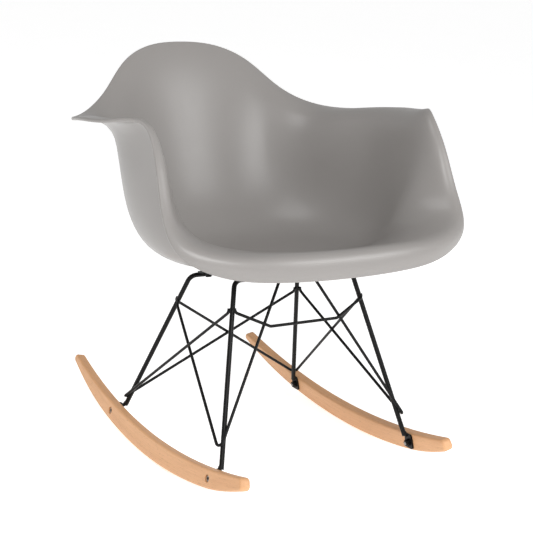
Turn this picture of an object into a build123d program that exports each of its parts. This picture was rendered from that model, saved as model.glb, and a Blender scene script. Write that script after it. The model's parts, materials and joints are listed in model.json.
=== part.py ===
from build123d import *
import os
from math import atan, copysign, cos, degrees, radians, sin, sqrt

import numpy as np

# Rocking armchair: a moulded bucket shell on a welded wire base with two beech rockers.
# Millimetres, +Z up, the chair faces -Y, left is the sitter's left (+X).
# The chair is drawn level, with its foot bolts the same distance either side of the rockers'
# lowest point, and is then rolled back on its rockers to where it balances.

# ---- seat shell ----
shell_thickness = 6.0
floor_centre = (0.0, 10.0, 322.0)      # deepest point of the seat, inner face
floor_radius = 30.0                    # flat disc at the deepest point
dish_ring = (62, 58, 62, 2.0)          # half width, front reach, back reach, corner power
floor_ring = (118, 108, 112, 2.0)
corner_ring = (192, 155, 188, 2.1)     # where the floor turns up
wall_ring = (224, 203, 228, 2.15)      # lower half of the walls
floor_heights = (347, 328, 322)        # front, side and back
corner_heights = (359, 340, 336)
wall_heights = (372, 410, 421)
# One row for each station from the front centre round to the back centre: its bearing from the
# seat centre, then the edge, the lip and the upper wall, each as x, y, z.
shell_stations = [
    (-90, (0, -248, 347), (0, -250, 383), (0, -227, 391)),               # front centre
    (-66, (120, -243, 350), (120, -246, 385), (115, -224, 392)),
    (-48, (222, -216, 366), (219, -222, 392), (203, -207, 398)),         # front corner
    (-39, (266, -190, 397), (259, -192, 415), (238, -178, 413)),
    (-31, (272, -155, 455), (258, -155, 462), (249, -142, 452)),         # front edge of the arm
    (-24, (267, -120, 530), (254, -121, 537), (243, -108, 500)),
    (-17, (270, -80, 574), (252, -85, 575), (243, -73, 512)),            # front corner of the arm
    (-6, (298, -27, 573), (252, -30, 578), (243, -25, 507)),
    (10, (311, 50, 568), (249, 48, 576), (240, 48, 503)),                # widest point
    (30, (285, 147, 558), (224, 133, 566), (203, 128, 500)),
    (46, (233, 213, 560), (196, 196, 556), (176, 184, 500)),             # arm meets back
    (57, (177, 259, 588), (160, 238, 573), (146, 220, 505)),
    (68, (123, 295, 637), (119, 275, 612), (109, 246, 512)),             # shoulder
    (79, (66, 314, 662), (66, 295, 635), (60, 263, 522)),
    (90, (0, 319, 668), (0, 301, 640), (0, 270, 525)),                   # top of the back
]
around_count = 84                      # points round each section of the shell
up_count = 17                          # sections between the floor disc and the edge
edge_angles = (30, 60, 90, 120, 150)   # sections round the rounded edge
boss_diameter = 27.0
boss_reach = 60.0                      # more than enough to meet the shell
insert_diameter = 9.0
insert_length = 7.0

# ---- rockers ----
rocker_radius = 1000.0                 # lower edge
rocker_top_radius = 1200.0             # upper edge
rocker_height = 34.5                   # at the middle
rocker_width = 18.0
front_tip = -279.0                     # where the lower edge ends along Y
back_tip = 367.0
front_turn = (-165.0, 470.0)           # the lower edge turns up more tightly from here on:
back_turn = (190.0, 700.0)             # place along Y and radius
tip_slant = 8.0                        # the upper edge ends this much sooner than the lower
rocker_spread = 201.0                  # x of the middle of the lower edge
rocker_tilt = 11.3                     # the tops lean inwards, in line with the legs
rocker_edge = 4.0                      # rounding of the long edges
rocker_tip = 7.0                       # rounding of the tips, seen from the side
bolt_reach = 180.0                     # foot bolts, either side of the lowest point
bolt_height = 32.5                     # above the lowest point, in the rocker's plane

# ---- wire base ----
leg_diameter = 8.0
strut_diameter = 5.0
front_bend = 14.0
rear_bend = 14.0
strut_bend = 7.0
front_top = 318.0                      # centre of the leg frames' top runs
rear_top = 293.0
front_leg = ((125.5, -108.9, 257.4), (172.3, -171.2, 58.5))
rear_leg = ((116.8, 82.3, 257.4), (170.8, 167.9, 58.5))
front_node = 270.4                     # heights where the struts meet the legs
rear_node = 242.8
front_apex = (180.0, -174.9, 69.4)     # where the struts turn round the legs' lower ends
rear_apex = (180.6, 179.4, 53.0)
strut_top_x = 29.4                     # side struts' upper ends on the front top run
crossbar_bend = (63.5, -125.4, 246.4)
strut_end = 6.0                        # length of strut that lies along a leg
weld_gap = 0.1                         # between a strut and what it is welded to
leg_stop = 10.0                        # leg ends this far above its bolt

# ---- mounting of the shell ----
rail_x = 60.0                          # the two front-to-back rails
mount_x = 84.0
mount_front = -76.0
mount_back = 46.0
plate_length = 42.0
plate_width = 28.0
plate_thickness = 3.0
spacer_diameter = 25.0
spacer_height = 5.0

# ---- fasteners ----
bolt_diameter = 6.0
hole_diameter = 6.6
head_diameter = 10.0
head_height = 6.0
washer_diameter = 14.0
washer_thickness = 1.5
nut_flats = 10.0
nut_height = 5.0
counterbore_diameter = 12.6
counterbore_depth = 8.0
foot_thickness = 3.0
foot_width = 19.0
foot_top_width = 14.0
foot_above = 15.0
foot_below = 11.0

# ---- resting place ----
lean = 2.529                           # degrees that the chair rolls back from level
origin_shift = -1.30                   # to the middle of the chair's length
lift = 1.056                           # the tilted rockers' inner lower edges touch the floor


# ---------------------------------------------------------------- seat shell

def ring_point(across, along, ring, heights):
    half_width, front, back, power = ring
    reach = back if along > 0 else front
    end_height = heights[2] if along > 0 else heights[0]
    x = half_width * copysign(abs(across) ** (2 / power), across)
    y = floor_centre[1] + reach * copysign(abs(along) ** (2 / power), along)
    z = heights[1] + (end_height - heights[1]) * along**2
    return (x, y, z)


def station_points(station):
    bearing, edge, lip, wall = station
    facing = (cos(radians(bearing)), sin(radians(bearing)), 0)
    return [facing, wall, lip, edge]


def profile_points(row):
    """The control points of one profile, from the floor disc up to the edge."""
    facing, wall, lip, edge = row
    across, along = facing[:2] / np.hypot(*facing[:2])
    disc = (floor_radius, floor_radius, floor_radius, 2.0)
    level = (floor_centre[2],) * 3
    rings = [
        (disc, level),
        (dish_ring, level),
        (floor_ring, floor_heights),
        (corner_ring, corner_heights),
        (wall_ring, wall_heights),
    ]
    return [ring_point(across, along, *ring) for ring in rings] + [wall, lip, edge]


def closed_spline(points, count):
    """Points of a smooth closed curve through each column of points, spaced by the edge."""
    edge = points[:, -1]
    spans = np.linalg.norm(np.roll(edge, -1, axis=0) - edge, axis=1)
    total = len(points)
    matrix = np.zeros((total, total))
    known = np.zeros_like(points)
    for i in range(total):
        before = spans[i - 1]
        after = spans[i]
        following = (i + 1) % total
        matrix[i, i - 1] += after
        matrix[i, i] += 2 * (before + after)
        matrix[i, following] += before
        rise = after * (points[i] - points[i - 1]) / before
        known[i] = 3 * (rise + before * (points[following] - points[i]) / after)
    slopes = np.linalg.solve(matrix, known.reshape(total, -1)).reshape(points.shape)
    starts = np.concatenate([[0.0], np.cumsum(spans)])
    rows = []
    for distance in np.arange(count) / count * starts[-1]:
        i = int(np.searchsorted(starts, distance, side="right")) - 1
        following = (i + 1) % total
        u = (distance - starts[i]) / spans[i]
        rows.append(
            points[i] * (1 + 2 * u) * (1 - u) ** 2
            + slopes[i] * spans[i] * u * (1 - u) ** 2
            + points[following] * u**2 * (3 - 2 * u)
            + slopes[following] * spans[i] * u**2 * (u - 1)
        )
    return np.array(rows)


def spline_weights(count, t):
    """Weights of a clamped cubic B-spline's control points at t."""
    knots = np.concatenate([[0.0] * 3, np.linspace(0, 1, count - 2), [1.0] * 3])
    t = min(t, 1 - 1e-9)
    weights = [float(low <= t < high) for low, high in zip(knots[:-1], knots[1:])]
    for degree in (1, 2, 3):
        raised = []
        for i in range(len(weights) - 1):
            value = 0.0
            if knots[i + degree] > knots[i]:
                value += (t - knots[i]) / (knots[i + degree] - knots[i]) * weights[i]
            if knots[i + degree + 1] > knots[i + 1]:
                gap = knots[i + degree + 1] - knots[i + 1]
                value += (knots[i + degree + 1] - t) / gap * weights[i + 1]
            raised.append(value)
        weights = raised
    return np.array(weights)


def shell_grid():
    """Inner face of the shell as [around, up], with its outward-up and downward directions."""
    half = [station_points(station) for station in shell_stations]
    mirrored = [[(-x, y, z) for x, y, z in row] for row in half[-2:0:-1]]
    rows = closed_spline(np.array(half + mirrored, float), around_count)
    control = np.array([profile_points(row) for row in rows])
    levels = np.linspace(0, 1, up_count)
    weights = np.array([spline_weights(control.shape[1], level) for level in levels])
    inner = np.einsum("vr,urk->uvk", weights, control)
    around = np.roll(inner, -1, axis=0) - np.roll(inner, 1, axis=0)
    up = np.gradient(inner, axis=1)
    down = np.cross(around, up)
    down /= np.linalg.norm(down, axis=2, keepdims=True)
    up /= np.linalg.norm(up, axis=2, keepdims=True)
    down[:, 0] = (0, 0, -1)
    return inner, up, down


def section(points):
    steps = [i / len(points) for i in range(len(points) + 1)]
    corners = [tuple(float(value) for value in point) for point in points]
    return Wire([Edge.make_spline(corners, periodic=True, parameters=steps)])


def make_shell_body():
    inner, up, down = shell_grid()
    outer = inner + shell_thickness * down
    middle = (inner[:, -1] + outer[:, -1]) / 2
    half = shell_thickness / 2
    edge = [section(inner[:, -1])]
    for angle in edge_angles:
        turn = radians(angle)
        edge.append(section(middle + half * (sin(turn) * up[:, -1] - cos(turn) * down[:, -1])))
    edge.append(section(outer[:, -1]))
    inside = [section(inner[:, level]) for level in range(up_count - 1)] + [edge[0]]
    outside = [section(outer[:, level]) for level in range(up_count - 1)] + [edge[-1]]
    faces = [Face(inside[0]), Face(outside[0])]
    for group in (inside, edge, outside):
        faces += Shell.make_loft(group).faces()
    return Solid(Shell(faces))


def mount_points():
    return [(side * mount_x, y) for side in (-1, 1) for y in (mount_front, mount_back)]


def floor_plane(x, y):
    """The plane that follows the shell's inner face round a point of the seat floor."""
    inner = shell_grid()[0].reshape(-1, 3)
    near = inner[np.hypot(inner[:, 0] - x, inner[:, 1] - y) < boss_diameter]
    places = np.column_stack([near[:, 0] - x, near[:, 1] - y, np.ones(len(near))])
    rise_x, rise_y, height = np.linalg.lstsq(places, near[:, 2], rcond=None)[0]
    return Plane(origin=(x, y, height), z_dir=(-rise_x, -rise_y, 1))


def boss_face():
    """Height of the bosses' faces above the rails' centre lines, square to the rails."""
    return leg_diameter / 2 + plate_thickness + spacer_height


def mount_frame(x, y):
    """The place of a mount on the sloping rails' centre plane, with z square to the rails."""
    front = on_leg(front_leg, front_top)
    back = on_leg(rear_leg, rear_top)
    slope = (front.Z - back.Z) / (back.Y - front.Y)
    return Pos(x, y, front.Z - (y - front.Y) * slope) * Rot(-degrees(atan(slope)), 0, 0)


def make_seat_shell():
    shell = make_shell_body()
    for x, y in mount_points():
        mount = mount_frame(x, y)
        face = mount * Pos(0, 0, boss_face())
        boss = face * Cylinder(boss_diameter / 2, boss_reach, align=up_from)
        roof = floor_plane(x, y).offset(-shell_thickness / 2)
        shell += split(boss, bisect_by=roof, keep=Keep.BOTTOM)
        shell -= face * Cylinder(insert_diameter / 2, insert_length, align=up_from)
    return shell


# ---------------------------------------------------------------- small helpers

up_from = (Align.CENTER, Align.CENTER, Align.MIN)
down_from = (Align.CENTER, Align.CENTER, Align.MAX)


def ring(outer, inner, height):
    return Cylinder(outer / 2, height, align=up_from) - Cylinder(inner / 2, height, align=up_from)


def on_leg(leg, height):
    top, foot = leg
    t = (height - foot[2]) / (top[2] - foot[2])
    return Vector(*foot) + (Vector(*top) - Vector(*foot)) * t


def mirrored_x(point):
    return Vector(-point.X, point.Y, point.Z)


def rod(points, diameter, bend):
    path = FilletPolyline(*points, radius=bend) if len(points) > 2 else Line(*points)
    start = Plane(origin=path @ 0, z_dir=path % 0)
    return sweep(start * Circle(diameter / 2), path)


def rocker_plane(side):
    """In the rocker's own plane: x runs back along Y, y up the rocker, z outwards."""
    outwards = Vector(side * cos(radians(rocker_tilt)), 0, sin(radians(rocker_tilt)))
    return Plane(origin=(side * rocker_spread, 0, 0), x_dir=(0, side, 0), z_dir=outwards)


def on_rocker(side, along, height, outwards):
    return rocker_plane(side).from_local_coords(Vector(side * along, height, outwards))


def bolt_frames():
    """Each foot bolt's place: z outwards from the middle of the rocker's width."""
    frames = []
    for side in (-1, 1):
        plane = rocker_plane(side)
        for along in (-bolt_reach, bolt_reach):
            origin = on_rocker(side, along, bolt_height, 0)
            frames.append(Plane(origin=origin, x_dir=plane.x_dir, z_dir=plane.z_dir))
    return frames


# ---------------------------------------------------------------- rockers

def arc_height(centre, radius, along):
    return centre[1] - sqrt(radius**2 - (along - centre[0]) ** 2)


def turned_up(turn, tip):
    """Start, middle and end of the tighter arc that carries the lower edge on to a tip."""
    start, radius = turn
    height = arc_height((0, rocker_radius), rocker_radius, start)
    share = radius / rocker_radius
    centre = (start * (1 - share), height + (rocker_radius - height) * share)
    return [(along, arc_height(centre, radius, along)) for along in (start, (start + tip) / 2, tip)]


def make_rocker(side):
    top_centre = (0, rocker_height + rocker_top_radius)
    upper_ends = (front_tip + tip_slant, back_tip - tip_slant)
    front, back = [(along, arc_height(top_centre, rocker_top_radius, along)) for along in upper_ends]
    front_arc = turned_up(front_turn, front_tip)
    back_arc = turned_up(back_turn, back_tip)
    lower_arcs = [front_arc[::-1], [front_arc[0], (0, 0), back_arc[0]], back_arc]
    upper_arc = [back, (0, rocker_height), front]
    edges = [ThreePointArc(*arc).edge() for arc in lower_arcs + [upper_arc]]
    edges += [Line(back_arc[-1], back).edge(), Line(front, front_arc[-1]).edge()]
    profile = make_face(Wire(edges))
    if side < 0:
        profile = mirror(profile, about=Plane.YZ)
    corners = profile.vertices().sort_by(Axis.X)
    profile = fillet(corners[:2] + corners[-2:], rocker_tip)
    bar = extrude(profile, rocker_width / 2, both=True)
    long_edges = bar.faces().filter_by(Axis.Z).edges()
    bar = fillet(long_edges, rocker_edge)
    for along in (-bolt_reach, bolt_reach):
        place = Pos(side * along, bolt_height, 0)
        bar -= place * Cylinder(hole_diameter / 2, rocker_width * 2)
        recess = Cylinder(counterbore_diameter / 2, counterbore_depth, align=down_from)
        bar -= place * Pos(0, 0, rocker_width / 2) * recess
    return rocker_plane(side) * bar


def make_foot_plate(frame):
    # flat lower edge, narrower where the leg is welded on
    outline = Polyline(
        (-foot_width / 2, -foot_below),
        (foot_width / 2, -foot_below),
        (foot_width / 2, foot_below / 2),
        (foot_top_width / 2, foot_above),
        (-foot_top_width / 2, foot_above),
        (-foot_width / 2, foot_below / 2),
        close=True,
    )
    profile = make_face(outline)
    profile = fillet(profile.vertices(), 3.0)
    plate = extrude(profile, foot_thickness) - Cylinder(hole_diameter / 2, 4 * foot_thickness)
    return frame * Pos(0, 0, -rocker_width / 2 - foot_thickness) * plate


def make_rocker_bolt(frame):
    seat = rocker_width / 2 - counterbore_depth
    stack = washer_thickness + nut_height + 1
    shank = seat + rocker_width / 2 + foot_thickness + stack
    head = Cylinder(head_diameter / 2, head_height, align=up_from)
    head = fillet(head.edges().sort_by(Axis.Z)[-1], 0.8)
    socket = extrude(RegularPolygon(2.5, 6, major_radius=False), 3.0)
    bolt = head - Pos(0, 0, head_height - 3.0) * socket
    bolt += Cylinder(bolt_diameter / 2, shank, align=down_from)
    return frame * Pos(0, 0, seat) * bolt


def make_rocker_washer(frame):
    inner_face = -rocker_width / 2 - foot_thickness - washer_thickness
    return frame * Pos(0, 0, inner_face) * ring(washer_diameter - 1, hole_diameter, washer_thickness)


def make_rocker_nut(frame):
    inner_face = -rocker_width / 2 - foot_thickness - washer_thickness - nut_height
    nut = extrude(RegularPolygon(nut_flats / 2, 6, major_radius=False), nut_height)
    nut -= Cylinder(bolt_diameter / 2, 3 * nut_height)
    nut = chamfer(nut.faces().sort_by(Axis.Z)[0].edges().filter_by(GeomType.LINE), 0.5)
    return frame * Pos(0, 0, inner_face) * nut


# ---------------------------------------------------------------- wire base

def make_leg_frame(leg, top_height, bend):
    bolt_z = on_rocker(1, bolt_reach, bolt_height, 0).Z
    foot = on_leg(leg, bolt_z + leg_stop)
    top = on_leg(leg, top_height)
    return rod([foot, top, mirrored_x(top), mirrored_x(foot)], leg_diameter, bend)


def strut_offset():
    return (leg_diameter + strut_diameter) / 2 + weld_gap


def beside(leg, height, direction):
    """A strut's centre line where it lies against a leg at this height."""
    along = (Vector(*leg[0]) - Vector(*leg[1])).normalized()
    away = Vector(*direction) - along * along.dot(Vector(*direction))
    return on_leg(leg, height) + away.normalized() * strut_offset()


def make_side_strut(side):
    start = beside(rear_leg, rear_node + strut_end, (0.4, -1, 0))
    node = beside(rear_leg, rear_node, (0.4, -1, 0))
    run = on_leg(front_leg, front_top)
    end = Vector(strut_top_x, run.Y - strut_offset(), run.Z)
    strut = rod([start, node, Vector(*front_apex), end], strut_diameter, strut_bend)
    return strut if side > 0 else mirror(strut, about=Plane.YZ)


def make_rear_strut(side):
    start = beside(front_leg, front_node + strut_end, (0.6, 1, 0))
    node = beside(front_leg, front_node, (0.6, 1, 0))
    # the two struts cross behind the seat, so one ends behind its leg and one beside it
    towards = (0, 1, 0) if side > 0 else (-1, -0.45, 0)
    far_node = mirrored_x(beside(rear_leg, rear_node, towards))
    far_end = mirrored_x(beside(rear_leg, rear_node + strut_end, towards))
    strut = rod([start, node, Vector(*rear_apex), far_node, far_end], strut_diameter, strut_bend)
    return strut if side > 0 else mirror(strut, about=Plane.YZ)


def make_front_crossbar():
    end = beside(front_leg, front_node + strut_end, (0, -1, 0))
    node = beside(front_leg, front_node, (0, -1, 0))
    bend = Vector(*crossbar_bend)
    half = [end, node, bend]
    return rod(half + [mirrored_x(point) for point in half[::-1]], strut_diameter, strut_bend)


def make_top_rail(side):
    front, back = on_leg(front_leg, front_top), on_leg(rear_leg, rear_top)
    front.X = back.X = side * rail_x
    reach = (back - front).normalized() * leg_diameter / 2
    return rod([front + reach, back - reach], leg_diameter, 0)


# ---------------------------------------------------------------- shell mounting

def make_mount_plate(x, y):
    centre = copysign((rail_x + mount_x + 12) / 2, x) - x
    plate = Box(plate_length, plate_width, plate_thickness, align=up_from)
    plate = fillet(plate.edges().filter_by(Axis.Z), 5.0)
    hole = Cylinder(hole_diameter / 2, 4 * plate_thickness)
    return mount_frame(x, y) * Pos(0, 0, leg_diameter / 2) * (Pos(centre, 0, 0) * plate - hole)


def make_spacer(x, y):
    spacer = ring(spacer_diameter, hole_diameter, spacer_height)
    rims = spacer.edges().filter_by(GeomType.CIRCLE).group_by(SortBy.RADIUS)[-1]
    base = leg_diameter / 2 + plate_thickness
    return mount_frame(x, y) * Pos(0, 0, base) * fillet(rims, 1.0)


def make_shell_washer(x, y):
    base = leg_diameter / 2 - washer_thickness
    return mount_frame(x, y) * Pos(0, 0, base) * ring(washer_diameter, hole_diameter, washer_thickness)


def make_shell_bolt(x, y):
    seat = leg_diameter / 2 - washer_thickness
    shank = boss_face() + insert_length - 1 - seat
    head = Cylinder(head_diameter / 2, head_height, align=down_from)
    head = fillet(head.edges().sort_by(Axis.Z)[0], 0.8)
    bolt = head + Cylinder(bolt_diameter / 2, shank, align=up_from)
    return mount_frame(x, y) * Pos(0, 0, seat) * bolt


def make_insert(x, y):
    return mount_frame(x, y) * Pos(0, 0, boss_face()) * ring(insert_diameter, bolt_diameter, insert_length)


# ---------------------------------------------------------------- assembly

def group(make, places):
    return [make(*place) for place in places]


def build_parts():
    sides = {"right": -1, "left": 1}
    mounts = mount_points()
    frames = bolt_frames()
    corner_names = ["front_right", "rear_right", "front_left", "rear_left"]
    parts = {
        "seat_shell": make_seat_shell(),
        "shell_inserts": group(make_insert, mounts),
        "shell_bolts": group(make_shell_bolt, mounts),
        "shell_washers": group(make_shell_washer, mounts),
        "front_leg_frame": make_leg_frame(front_leg, front_top, front_bend),
        "rear_leg_frame": make_leg_frame(rear_leg, rear_top, rear_bend),
        "front_crossbar": make_front_crossbar(),
        "rocker_bolts": group(make_rocker_bolt, [(frame,) for frame in frames]),
        "rocker_washers": group(make_rocker_washer, [(frame,) for frame in frames]),
        "rocker_nuts": group(make_rocker_nut, [(frame,) for frame in frames]),
    }
    for name, side in sides.items():
        parts[f"{name}_rocker"] = make_rocker(side)
        parts[f"{name}_side_strut"] = make_side_strut(side)
        parts[f"{name}_rear_strut"] = make_rear_strut(side)
        parts[f"{name}_top_rail"] = make_top_rail(side)
    for name, mount, frame in zip(corner_names, mounts, frames):
        parts[f"{name}_mount_plate"] = make_mount_plate(*mount)
        parts[f"{name}_spacer"] = make_spacer(*mount)
        parts[f"{name}_foot_plate"] = make_foot_plate(frame)
    return parts


def at_rest():
    """The move that rolls the level chair back along its rockers to where it balances."""
    centre = rocker_radius / cos(radians(rocker_tilt))
    rolled = Pos(0, 0, centre) * Rot(-lean, 0, 0) * Pos(0, 0, -centre)
    return Pos(0, origin_shift, lift) * rolled


def solids_at_rest(shape):
    pieces = shape if isinstance(shape, list) else [shape]
    return [at_rest() * solid for piece in pieces for solid in piece.solids()]


os.makedirs("parts", exist_ok=True)
for name, shape in build_parts().items():
    export_step(Compound(solids_at_rest(shape)), f"parts/{name}.step")
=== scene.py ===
import json
from math import atan, copysign, cos, pi, radians, sin

import bmesh
import bpy
import numpy as np
from mathutils import Matrix, Vector


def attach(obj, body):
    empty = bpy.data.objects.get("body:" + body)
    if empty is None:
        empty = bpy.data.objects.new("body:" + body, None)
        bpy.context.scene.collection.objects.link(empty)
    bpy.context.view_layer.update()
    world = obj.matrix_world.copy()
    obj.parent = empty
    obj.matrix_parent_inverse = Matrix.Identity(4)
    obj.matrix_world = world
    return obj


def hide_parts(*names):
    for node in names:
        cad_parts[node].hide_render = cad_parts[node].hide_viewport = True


# Rocking armchair: a moulded bucket shell on a welded wire base with two beech rockers.
# The frame gives every rod, plate, fastener and rocker. This script adds the smooth shell, the
# weld beads, the materials, the lights and the camera. Drawing sizes are in millimetres of the
# level chair, and at_rest() rolls them back to where the chair balances.

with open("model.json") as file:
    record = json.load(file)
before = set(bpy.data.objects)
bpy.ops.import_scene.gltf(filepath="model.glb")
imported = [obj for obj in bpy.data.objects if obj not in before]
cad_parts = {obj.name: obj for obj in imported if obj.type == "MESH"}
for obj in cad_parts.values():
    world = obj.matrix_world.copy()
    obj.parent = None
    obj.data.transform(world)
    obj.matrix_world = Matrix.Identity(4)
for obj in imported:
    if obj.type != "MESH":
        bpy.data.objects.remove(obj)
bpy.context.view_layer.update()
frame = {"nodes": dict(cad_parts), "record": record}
nodes = frame["nodes"]

# ---- resting place, as in the CAD ----
rocker_radius = 1000.0
rocker_tilt = 11.3
lean = 2.529
origin_shift = -1.30
lift = 1.056

# ---- camera ----
view_azimuth = -31.59
view_elevation = 14.57
view_roll = 3.07
view_distance = 2.189              # metres
view_target = (0.0, -0.0353, 0.3152)
view_lens = 87.83

# ---- studio ----
side_level = 0.60                  # brightness of the surroundings at the sides
top_level = 0.36                   # and overhead
floor_glow = 0.64
lights = {                         # place, size and power
    "front_left": ((-1.0, -3.0, 1.9), (1.6, 1.2), 50),
    "front_right": ((1.8, -2.7, 1.8), (1.4, 1.2), 34),
    "left_high": ((-1.6, -0.4, 3.0), (1.6, 1.6), 20),
}

# ---- seat shell, as in the CAD ----
shell_thickness = 6.0
floor_centre = (0.0, 10.0, 322.0)
floor_radius = 30.0
dish_ring = (62, 58, 62, 2.0)
floor_ring = (118, 108, 112, 2.0)
corner_ring = (192, 155, 188, 2.1)
wall_ring = (224, 203, 228, 2.15)
floor_heights = (347, 328, 322)
corner_heights = (359, 340, 336)
wall_heights = (372, 410, 421)
# bearing from the seat centre, then the edge, the lip and the upper wall
shell_stations = [
    (-90, (0, -248, 347), (0, -250, 383), (0, -227, 391)),
    (-66, (120, -243, 350), (120, -246, 385), (115, -224, 392)),
    (-48, (222, -216, 366), (219, -222, 392), (203, -207, 398)),
    (-39, (266, -190, 397), (259, -192, 415), (238, -178, 413)),
    (-31, (272, -155, 455), (258, -155, 462), (249, -142, 452)),
    (-24, (267, -120, 530), (254, -121, 537), (243, -108, 500)),
    (-17, (270, -80, 574), (252, -85, 575), (243, -73, 512)),
    (-6, (298, -27, 573), (252, -30, 578), (243, -25, 507)),
    (10, (311, 50, 568), (249, 48, 576), (240, 48, 503)),
    (30, (285, 147, 558), (224, 133, 566), (203, 128, 500)),
    (46, (233, 213, 560), (196, 196, 556), (176, 184, 500)),
    (57, (177, 259, 588), (160, 238, 573), (146, 220, 505)),
    (68, (123, 295, 637), (119, 275, 612), (109, 246, 512)),
    (79, (66, 314, 662), (66, 295, 635), (60, 263, 522)),
    (90, (0, 319, 668), (0, 301, 640), (0, 270, 525)),
]
around_count = 200
up_count = 34
edge_steps = 8
boss_base = 12.0                   # above the rails, square to them
boss_radius = 13.5
insert_radius = 4.5
mount_x = 84.0
mount_places = (-76.0, 46.0)

# ---- wire base, as in the CAD ----
leg_radius = 4.0
front_top = 318.0
rear_top = 293.0
front_leg = ((125.5, -108.9, 257.4), (172.3, -171.2, 58.5))
rear_leg = ((116.8, 82.3, 257.4), (170.8, 167.9, 58.5))
front_node = 270.4
rear_node = 242.8
rail_x = 60.0
strut_top_x = 29.4
foot_weld = 43.5                   # height of the middle of the weld at each leg end
weld_length = 8.0
weld_radius = 1.9
weld_reach = leg_radius + 0.3      # from the rod's centre line to the bead's
foot_weld_size = (11.0, 3.3, 2.6)  # length, radius and reach


# ---------------------------------------------------------------- places

def at_rest(point):
    """A point of the level drawing, in millimetres, where it is on the balanced chair, in metres."""
    centre = rocker_radius / cos(radians(rocker_tilt))
    turned = Matrix.Rotation(radians(-lean), 3, "X") @ (Vector(point) - Vector((0, 0, centre)))
    return (turned + Vector((0, origin_shift, centre + lift))) / 1000


def direction_at_rest(direction):
    return Matrix.Rotation(radians(-lean), 3, "X") @ Vector(direction)


def on_leg(leg, height):
    top, foot = Vector(leg[0]), Vector(leg[1])
    return foot + (top - foot) * (height - foot.z) / (top.z - foot.z)


def mount_frame(x, y):
    """The place of a mount on the sloping rails, with z square to the rails."""
    front = on_leg(front_leg, front_top)
    back = on_leg(rear_leg, rear_top)
    slope = (front.z - back.z) / (back.y - front.y)
    place = Vector((x, y, front.z - (y - front.y) * slope))
    return Matrix.Translation(place) @ Matrix.Rotation(-atan(slope), 4, "X")


# ---------------------------------------------------------------- node helpers

def new_material(name):
    material = bpy.data.materials.new(name)
    material.use_nodes = True
    tree = material.node_tree
    return material, tree, tree.nodes["Principled BSDF"]


def node(tree, kind, inputs=None, **settings):
    made = tree.nodes.new(kind)
    for key, value in settings.items():
        setattr(made, key, value)
    for key, value in (inputs or {}).items():
        if isinstance(value, bpy.types.NodeSocket):
            tree.links.new(value, made.inputs[key])
        else:
            made.inputs[key].default_value = value
    return made


def maths(tree, operation, a, b=0.0):
    return node(tree, "ShaderNodeMath", {0: a, 1: b}, operation=operation).outputs[0]


def object_place(tree):
    return node(tree, "ShaderNodeTexCoord").outputs["Object"]


def noise(tree, place, scale, detail=4.0, roughness=0.5):
    inputs = {"Vector": place, "Scale": scale, "Detail": detail, "Roughness": roughness}
    return node(tree, "ShaderNodeTexNoise", inputs).outputs["Fac"]


def ranged(tree, value, low, high, from_low=0.0, from_high=1.0):
    inputs = {"Value": value, "From Min": from_low, "From Max": from_high, "To Min": low, "To Max": high}
    return node(tree, "ShaderNodeMapRange", inputs).outputs["Result"]


def blend_colours(tree, share, first, second, mode="MIX"):
    mixed = node(tree, "ShaderNodeMix", data_type="RGBA", blend_type=mode)
    for socket, value in ((mixed.inputs[0], share), (mixed.inputs[6], first), (mixed.inputs[7], second)):
        if isinstance(value, bpy.types.NodeSocket):
            tree.links.new(value, socket)
        else:
            socket.default_value = value
    return mixed.outputs[2]


def bump(tree, shader, height, strength, distance):
    inputs = {"Height": height, "Strength": strength, "Distance": distance}
    made = node(tree, "ShaderNodeBump", inputs)
    tree.links.new(made.outputs["Normal"], shader.inputs["Normal"])


# ---------------------------------------------------------------- materials

def shell_plastic():
    """Satin moulded plastic: even warm grey with a very fine orange-peel skin and faint scuffs."""
    material, tree, shader = new_material("shell_plastic")
    place = object_place(tree)
    drift = noise(tree, place, 5.0, 2.0)
    speck = noise(tree, place, 420.0, 2.0)
    share = maths(tree, "ADD", maths(tree, "MULTIPLY", drift, 0.7), maths(tree, "MULTIPLY", speck, 0.3))
    colour = blend_colours(tree, share, (0.250, 0.236, 0.226, 1), (0.290, 0.275, 0.264, 1))
    tree.links.new(colour, shader.inputs["Base Color"])
    scuffs = noise(tree, place, 34.0, 8.0, 0.7)
    tree.links.new(ranged(tree, scuffs, 0.30, 0.34, 0.3, 0.7), shader.inputs["Roughness"])
    shader.inputs["Specular IOR Level"].default_value = 0.5
    bump(tree, shader, noise(tree, place, 700.0, 3.0), 0.07, 0.0003)
    return material


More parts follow.
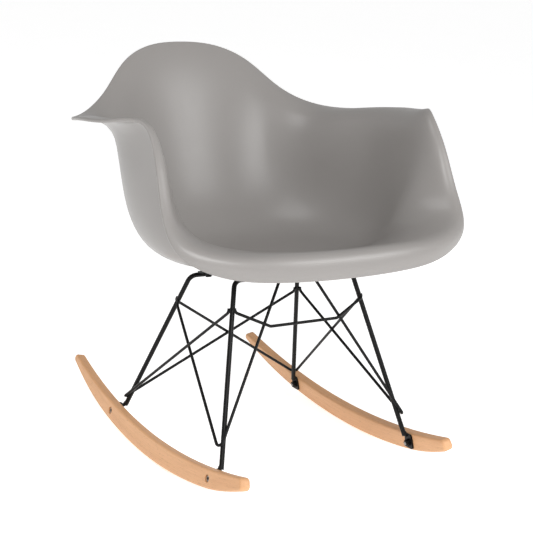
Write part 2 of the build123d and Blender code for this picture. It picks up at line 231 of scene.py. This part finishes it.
def beech():
    """Beech bent along the rocker: fine straight grain that follows the curve, and short dark flecks."""
    material, tree, shader = new_material("beech")
    split = node(tree, "ShaderNodeSeparateXYZ", {0: object_place(tree)})
    centre_height = (rocker_radius / cos(radians(rocker_tilt)) + lift) / 1000
    below = maths(tree, "SUBTRACT", centre_height, split.outputs["Z"])
    behind = maths(tree, "SUBTRACT", split.outputs["Y"], origin_shift / 1000)
    along = maths(tree, "ARCTAN2", behind, below)
    squares = maths(tree, "ADD", maths(tree, "POWER", below, 2.0), maths(tree, "POWER", behind, 2.0))
    depth = maths(tree, "SQRT", squares)

    def grain_place(along_scale, across_scale):
        parts = {
            0: maths(tree, "MULTIPLY", split.outputs["X"], across_scale),
            1: maths(tree, "MULTIPLY", along, along_scale),
            2: maths(tree, "MULTIPLY", depth, across_scale),
        }
        return node(tree, "ShaderNodeCombineXYZ", parts).outputs[0]

    bands = noise(tree, grain_place(1.5, 60.0), 1.0, 3.0, 0.55)
    grain = noise(tree, grain_place(9.0, 620.0), 1.0, 5.0, 0.6)
    fleck = noise(tree, grain_place(110.0, 1500.0), 1.0, 1.0, 0.4)
    share = ranged(tree, bands, 0, 1, 0.3, 0.7)
    colour = blend_colours(tree, share, (0.65, 0.345, 0.165, 1), (0.76, 0.43, 0.22, 1))
    shade = ranged(tree, grain, 0.0, 0.34, 0.42, 0.72)
    colour = blend_colours(tree, shade, colour, (0.50, 0.245, 0.108, 1))
    dark = ranged(tree, fleck, 0.0, 0.55, 0.64, 0.74)
    colour = blend_colours(tree, dark, colour, (0.33, 0.15, 0.07, 1))
    tree.links.new(colour, shader.inputs["Base Color"])
    tree.links.new(ranged(tree, grain, 0.40, 0.56), shader.inputs["Roughness"])
    bump(tree, shader, maths(tree, "SUBTRACT", grain, maths(tree, "MULTIPLY", dark, 0.8)), 0.18, 0.0004)
    return material


def black_steel():
    """Satin black powder coat: a pebbled skin, a little greyer where it is rubbed."""
    material, tree, shader = new_material("black_steel")
    place = object_place(tree)
    rub = ranged(tree, noise(tree, place, 45.0, 6.0, 0.65), 0.0, 1.0, 0.45, 0.8)
    colour = blend_colours(tree, rub, (0.002, 0.002, 0.0022, 1), (0.005, 0.005, 0.0052, 1))
    tree.links.new(colour, shader.inputs["Base Color"])
    tree.links.new(ranged(tree, rub, 0.36, 0.52), shader.inputs["Roughness"])
    shader.inputs["Specular IOR Level"].default_value = 0.2
    bump(tree, shader, noise(tree, place, 1400.0, 2.0), 0.22, 0.0003)
    return material


def zinc_steel():
    """Dull zinc plate with turning marks and darker patches."""
    material, tree, shader = new_material("zinc_steel")
    place = object_place(tree)
    patches = noise(tree, place, 160.0, 5.0, 0.6)
    colour = blend_colours(tree, patches, (0.20, 0.19, 0.18, 1), (0.42, 0.41, 0.40, 1))
    tree.links.new(colour, shader.inputs["Base Color"])
    shader.inputs["Metallic"].default_value = 1.0
    tree.links.new(ranged(tree, patches, 0.32, 0.55), shader.inputs["Roughness"])
    bump(tree, shader, noise(tree, place, 1800.0, 2.0), 0.15, 0.0002)
    return material


def black_rubber():
    """Matt black rubber with dust in its pores."""
    material, tree, shader = new_material("black_rubber")
    place = object_place(tree)
    dust = ranged(tree, noise(tree, place, 90.0, 6.0, 0.7), 0.0, 1.0, 0.5, 0.8)
    colour = blend_colours(tree, dust, (0.012, 0.012, 0.012, 1), (0.035, 0.034, 0.032, 1))
    tree.links.new(colour, shader.inputs["Base Color"])
    tree.links.new(ranged(tree, dust, 0.72, 0.88), shader.inputs["Roughness"])
    bump(tree, shader, noise(tree, place, 900.0, 3.0), 0.3, 0.0003)
    return material


def brass():
    """Turned brass, slightly tarnished."""
    material, tree, shader = new_material("brass")
    place = object_place(tree)
    tarnish = noise(tree, place, 220.0, 5.0, 0.6)
    colour = blend_colours(tree, tarnish, (0.62, 0.44, 0.17, 1), (0.42, 0.29, 0.12, 1))
    tree.links.new(colour, shader.inputs["Base Color"])
    shader.inputs["Metallic"].default_value = 1.0
    tree.links.new(ranged(tree, tarnish, 0.25, 0.45), shader.inputs["Roughness"])
    bump(tree, shader, noise(tree, place, 1600.0, 2.0), 0.12, 0.0002)
    return material


def floor_white():
    material, tree, shader = new_material("floor_white")
    place = object_place(tree)
    colour = blend_colours(tree, noise(tree, place, 3.0, 3.0), (0.92, 0.92, 0.92, 1), (0.94, 0.94, 0.94, 1))
    tree.links.new(colour, shader.inputs["Base Color"])
    tree.links.new(colour, shader.inputs["Emission Color"])
    shader.inputs["Emission Strength"].default_value = floor_glow
    shader.inputs["Roughness"].default_value = 0.85
    shader.inputs["Specular IOR Level"].default_value = 0.1
    return material


# ---------------------------------------------------------------- mesh helpers

def mesh_object(name, vertices, faces, material):
    mesh = bpy.data.meshes.new(name)
    mesh.from_pydata([tuple(v) for v in vertices], [], faces)
    work = bmesh.new()
    work.from_mesh(mesh)
    bmesh.ops.recalc_face_normals(work, faces=work.faces)
    for face in work.faces:
        face.smooth = True
    work.to_mesh(mesh)
    work.free()
    mesh.materials.append(material)
    made = bpy.data.objects.new(name, mesh)
    bpy.context.scene.collection.objects.link(made)
    return made


def tube_faces(rows, around, first=0, closed_ends=True):
    """Quads between rings of vertices, with a face over each end."""
    faces = []
    for row in range(rows - 1):
        for i in range(around):
            a = first + row * around + i
            b = first + row * around + (i + 1) % around
            faces.append((a, b, b + around, a + around))
    if closed_ends:
        faces.append([first + i for i in range(around)])
        faces.append([first + (rows - 1) * around + i for i in range(around)])
    return faces


# ---------------------------------------------------------------- seat shell

def ring_point(across, along, ring, heights):
    half_width, front, back, power = ring
    reach = back if along > 0 else front
    end_height = heights[2] if along > 0 else heights[0]
    x = half_width * copysign(abs(across) ** (2 / power), across)
    y = floor_centre[1] + reach * copysign(abs(along) ** (2 / power), along)
    z = heights[1] + (end_height - heights[1]) * along**2
    return (x, y, z)


def station_points(station):
    bearing, edge, lip, wall = station
    return [(cos(radians(bearing)), sin(radians(bearing)), 0), wall, lip, edge]


def profile_points(row):
    """The control points of one profile, from the floor disc up to the edge."""
    facing, wall, lip, edge = row
    across, along = facing[:2] / np.hypot(*facing[:2])
    disc = (floor_radius, floor_radius, floor_radius, 2.0)
    level = (floor_centre[2],) * 3
    rings = [
        (disc, level),
        (dish_ring, level),
        (floor_ring, floor_heights),
        (corner_ring, corner_heights),
        (wall_ring, wall_heights),
    ]
    return [ring_point(across, along, *ring) for ring in rings] + [wall, lip, edge]


def closed_spline(points, count):
    """Points of a smooth closed curve through each column of points, spaced by the edge."""
    edge = points[:, -1]
    spans = np.linalg.norm(np.roll(edge, -1, axis=0) - edge, axis=1)
    total = len(points)
    matrix = np.zeros((total, total))
    known = np.zeros_like(points)
    for i in range(total):
        before = spans[i - 1]
        after = spans[i]
        following = (i + 1) % total
        matrix[i, i - 1] += after
        matrix[i, i] += 2 * (before + after)
        matrix[i, following] += before
        rise = after * (points[i] - points[i - 1]) / before
        known[i] = 3 * (rise + before * (points[following] - points[i]) / after)
    slopes = np.linalg.solve(matrix, known.reshape(total, -1)).reshape(points.shape)
    starts = np.concatenate([[0.0], np.cumsum(spans)])
    rows = []
    for distance in np.arange(count) / count * starts[-1]:
        i = int(np.searchsorted(starts, distance, side="right")) - 1
        following = (i + 1) % total
        u = (distance - starts[i]) / spans[i]
        rows.append(
            points[i] * (1 + 2 * u) * (1 - u) ** 2
            + slopes[i] * spans[i] * u * (1 - u) ** 2
            + points[following] * u**2 * (3 - 2 * u)
            + slopes[following] * spans[i] * u**2 * (u - 1)
        )
    return np.array(rows)


def spline_weights(count, t):
    """Weights of a clamped cubic B-spline's control points at t."""
    knots = np.concatenate([[0.0] * 3, np.linspace(0, 1, count - 2), [1.0] * 3])
    t = min(t, 1 - 1e-9)
    weights = [float(low <= t < high) for low, high in zip(knots[:-1], knots[1:])]
    for degree in (1, 2, 3):
        raised = []
        for i in range(len(weights) - 1):
            value = 0.0
            if knots[i + degree] > knots[i]:
                value += (t - knots[i]) / (knots[i + degree] - knots[i]) * weights[i]
            if knots[i + degree + 1] > knots[i + 1]:
                gap = knots[i + degree + 1] - knots[i + 1]
                value += (knots[i + degree + 1] - t) / gap * weights[i + 1]
            raised.append(value)
        weights = raised
    return np.array(weights)


def shell_grid():
    """Inner face of the shell as [around, up], with its outward-up and downward directions."""
    half = [station_points(station) for station in shell_stations]
    mirrored = [[(-x, y, z) for x, y, z in row] for row in half[-2:0:-1]]
    rows = closed_spline(np.array(half + mirrored, float), around_count)
    control = np.array([profile_points(row) for row in rows])
    levels = np.linspace(0, 1, up_count)
    weights = np.array([spline_weights(control.shape[1], level) for level in levels])
    inner = np.einsum("vr,urk->uvk", weights, control)
    around = np.roll(inner, -1, axis=0) - np.roll(inner, 1, axis=0)
    up = np.gradient(inner, axis=1)
    down = np.cross(around, up)
    down /= np.linalg.norm(down, axis=2, keepdims=True)
    up /= np.linalg.norm(up, axis=2, keepdims=True)
    down[:, 0] = (0, 0, -1)
    return inner, up, down


def disc_rings(ring, shares):
    """The ring drawn in towards the middle of the seat floor."""
    middle = ring.mean(axis=0)
    return [middle + (ring - middle) * share for share in shares]


def make_shell(material):
    inner, up, down = shell_grid()
    outer = inner + shell_thickness * down
    middle = (inner[:, -1] + outer[:, -1]) / 2
    half = shell_thickness / 2
    shares = (0.04, 0.35, 0.7)
    rings = disc_rings(inner[:, 0], shares)
    rings += [inner[:, level] for level in range(up_count)]
    for step in range(1, edge_steps):
        turn = pi * step / edge_steps
        rings.append(middle + half * (sin(turn) * up[:, -1] - cos(turn) * down[:, -1]))
    rings += [outer[:, level] for level in reversed(range(up_count))]
    rings += disc_rings(outer[:, 0], shares[::-1])
    vertices = [at_rest(point) for ring in rings for point in ring]
    faces = tube_faces(len(rings), around_count)
    for x, y in [(side * mount_x, place) for side in (-1, 1) for place in mount_places]:
        add_boss(vertices, faces, x, y, inner)
    shell = mesh_object("shell", vertices, faces, material)
    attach(shell, "root")
    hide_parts("seat_shell")


def add_boss(vertices, faces, x, y, inner):
    """A round moulded boss that ends inside the shell's wall, hollow for its threaded insert."""
    points = inner.reshape(-1, 3)
    near = points[np.hypot(points[:, 0] - x, points[:, 1] - y) < 2 * boss_radius]
    places = np.column_stack([near[:, 0] - x, near[:, 1] - y, np.ones(len(near))])
    rise_x, rise_y, floor = np.linalg.lstsq(places, near[:, 2], rcond=None)[0]
    mount = mount_frame(x, y)
    roof = floor - shell_thickness / 2 - mount.translation.z
    # radius, height above the rails, and whether that height follows the slope of the shell
    profile = [
        (insert_radius, boss_base + 7.0, False),
        (insert_radius, boss_base + 0.4, False),
        (insert_radius + 0.4, boss_base, False),
        (boss_radius - 1.0, boss_base, False),
        (boss_radius - 0.3, boss_base + 0.3, False),
        (boss_radius, boss_base + 1.0, False),
        (boss_radius, roof - 3.0, True),
        (boss_radius + 0.6, roof - 1.5, True),
        (boss_radius + 0.8, roof, True),
    ]
    around = 48
    first = len(vertices)
    lowest_wall = boss_base + 1.0
    for radius, height, follows in profile:
        for i in range(around):
            angle = 2 * pi * i / around
            place = mount @ Vector((radius * cos(angle), radius * sin(angle), height))
            if follows:
                lowest = mount @ Vector((radius * cos(angle), radius * sin(angle), lowest_wall))
                level = height + mount.translation.z
                level += rise_x * (place.x - x) + rise_y * (place.y - y)
                place.z = max(level, lowest.z)
            vertices.append(at_rest(place))
    faces += tube_faces(len(profile), around, first)


# ---------------------------------------------------------------- weld beads

def make_bead(name, middle, along, length, radius, material):
    """A rippled bead of weld metal lying along a rod at a level-drawing point."""
    rings = 22
    around = 14
    axis = direction_at_rest(Vector(along).normalized())
    side = axis.orthogonal().normalized()
    other = axis.cross(side)
    centre = at_rest(middle)
    vertices = []
    for ring in range(rings):
        t = ring / (rings - 1)
        swell = sin(pi * (0.04 + 0.92 * t)) ** 0.45
        ripple = 1 + 0.07 * cos(2 * pi * 5 * t)
        for i in range(around):
            angle = 2 * pi * i / around
            size = radius * swell * ripple / 1000
            offset = axis * (t - 0.5) * length / 1000
            vertices.append(centre + offset + (side * cos(angle) + other * sin(angle)) * size)
    bead = mesh_object(name, vertices, tube_faces(rings, around), material)
    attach(bead, "root")


def bead_places(side):
    """Place, direction, length and radius of each weld bead on one side of the level drawing."""
    places = {}

    def beside(name, leg, height, towards, length=weld_length, radius=weld_radius, reach=weld_reach):
        line = (Vector(leg[0]) - Vector(leg[1])).normalized()
        away = Vector(towards) - line * line.dot(Vector(towards))
        place = on_leg(leg, height) + away.normalized() * reach
        places[name] = (place, line, length, radius)

    beside("front_strut", front_leg, front_node + 3, (0.6, 1, 0))
    beside("crossbar", front_leg, front_node + 3, (0, -1, 0))
    beside("rear_strut", rear_leg, rear_node + 3, (0.4, -1, 0))
    # behind the seat one strut ends behind its leg and the other on the leg's inner side
    beside("rear_cross", rear_leg, rear_node + 3, (-1, -0.45, 0) if side > 0 else (0, 1, 0))
    beside("front_apex", front_leg, 95, (0, -1, 0))
    beside("rear_apex", rear_leg, 57, (0.5, 0.75, 0), 7.0, 2.1)
    # each leg's end is welded to its foot plate, which is on the outer side
    beside("front_foot", front_leg, foot_weld, (1, 0, 0), *foot_weld_size)
    beside("rear_foot", rear_leg, foot_weld, (1, 0, 0), *foot_weld_size)
    front_run = on_leg(front_leg, front_top)
    rear_run = on_leg(rear_leg, rear_top)
    across = Vector((1, 0, 0))
    strut_top = Vector((strut_top_x, front_run.y - weld_reach, front_top))
    places["strut_top"] = (strut_top, across, weld_length, weld_radius)
    for name, run, reach in (("rail_front", front_run, 1), ("rail_back", rear_run, -1)):
        end = Vector((rail_x, run.y + reach * (leg_radius - 0.6), run.z))
        places[name] = (end, across, 10.0, 3.0)
    return places


def make_beads(material):
    for side, side_name in ((1, "left"), (-1, "right")):
        mirroring = Vector((side, 1, 1))
        for name, (place, along, length, radius) in bead_places(side).items():
            full_name = f"weld_{side_name}_{name}"
            make_bead(full_name, place * mirroring, along * mirroring, length, radius, material)


# ---------------------------------------------------------------- frame finishes

def finish_frame(materials):
    """Every CAD node takes the material of its record slot, shaded smooth up to its real edges."""
    slots = {part["node"]: part["material_slot"] for part in frame["record"]["subparts"]}
    for name, item in nodes.items():
        item.data.materials.clear()
        item.data.materials.append(materials[slots[name]])
        for face in item.data.polygons:
            face.use_smooth = True
            face.material_index = 0


# ---------------------------------------------------------------- stage

def make_floor(material):
    size = 40.0
    corners = [(-size, -size), (size, -size), (size, size), (-size, size)]
    floor = mesh_object("floor", [(x, y, -0.0005) for x, y in corners], [(0, 1, 2, 3)], material)


def make_light(name, place, target, size, power):
    data = bpy.data.lights.new(name, "AREA")
    data.shape = "RECTANGLE"
    data.size, data.size_y = size
    data.energy = power
    light = bpy.data.objects.new(name, data)
    light.location = place
    light.rotation_euler = (Vector(target) - Vector(place)).to_track_quat("-Z", "Y").to_euler()
    bpy.context.scene.collection.objects.link(light)


def make_lights():
    seat = (0, 0, 0.4)
    for name, (place, size, power) in lights.items():
        make_light(name, place, seat, size, power)


def make_world():
    """A white studio that is bright round the sides and dimmer overhead."""
    world = bpy.data.worlds.new("studio")
    bpy.context.scene.world = world
    world.use_nodes = True
    tree = world.node_tree
    direction = node(tree, "ShaderNodeTexCoord").outputs["Generated"]
    height = node(tree, "ShaderNodeSeparateXYZ", {0: direction}).outputs["Z"]
    level = ranged(tree, height, side_level, top_level, 0.12, 0.75)
    background = tree.nodes["Background"]
    background.inputs["Color"].default_value = (1, 1, 1, 1)
    tree.links.new(level, background.inputs["Strength"])


def make_camera():
    azimuth = radians(view_azimuth)
    elevation = radians(view_elevation)
    back = Vector((sin(azimuth) * cos(elevation), -cos(azimuth) * cos(elevation), sin(elevation)))
    level_right = Vector((cos(azimuth), sin(azimuth), 0))
    level_up = back.cross(level_right)
    roll = radians(view_roll)
    right = level_right * cos(roll) + level_up * sin(roll)
    up = level_up * cos(roll) - level_right * sin(roll)
    data = bpy.data.cameras.new("camera")
    data.sensor_width = 36.0
    data.lens = view_lens
    data.clip_end = 100.0
    camera = bpy.data.objects.new("camera", data)
    turn = Matrix((right, up, back)).transposed().to_4x4()
    camera.matrix_world = Matrix.Translation(Vector(view_target) + back * view_distance) @ turn
    bpy.context.scene.collection.objects.link(camera)
    bpy.context.scene.camera = camera


def main():
    makers = (shell_plastic, beech, black_steel, zinc_steel, black_rubber, brass)
    materials = {make.__name__: make() for make in makers}
    finish_frame(materials)
    make_shell(materials["shell_plastic"])
    make_beads(materials["black_steel"])
    make_floor(floor_white())
    make_lights()
    make_world()
    make_camera()
    bpy.context.scene.view_settings.view_transform = "Standard"
    bpy.context.view_layer.update()


main()
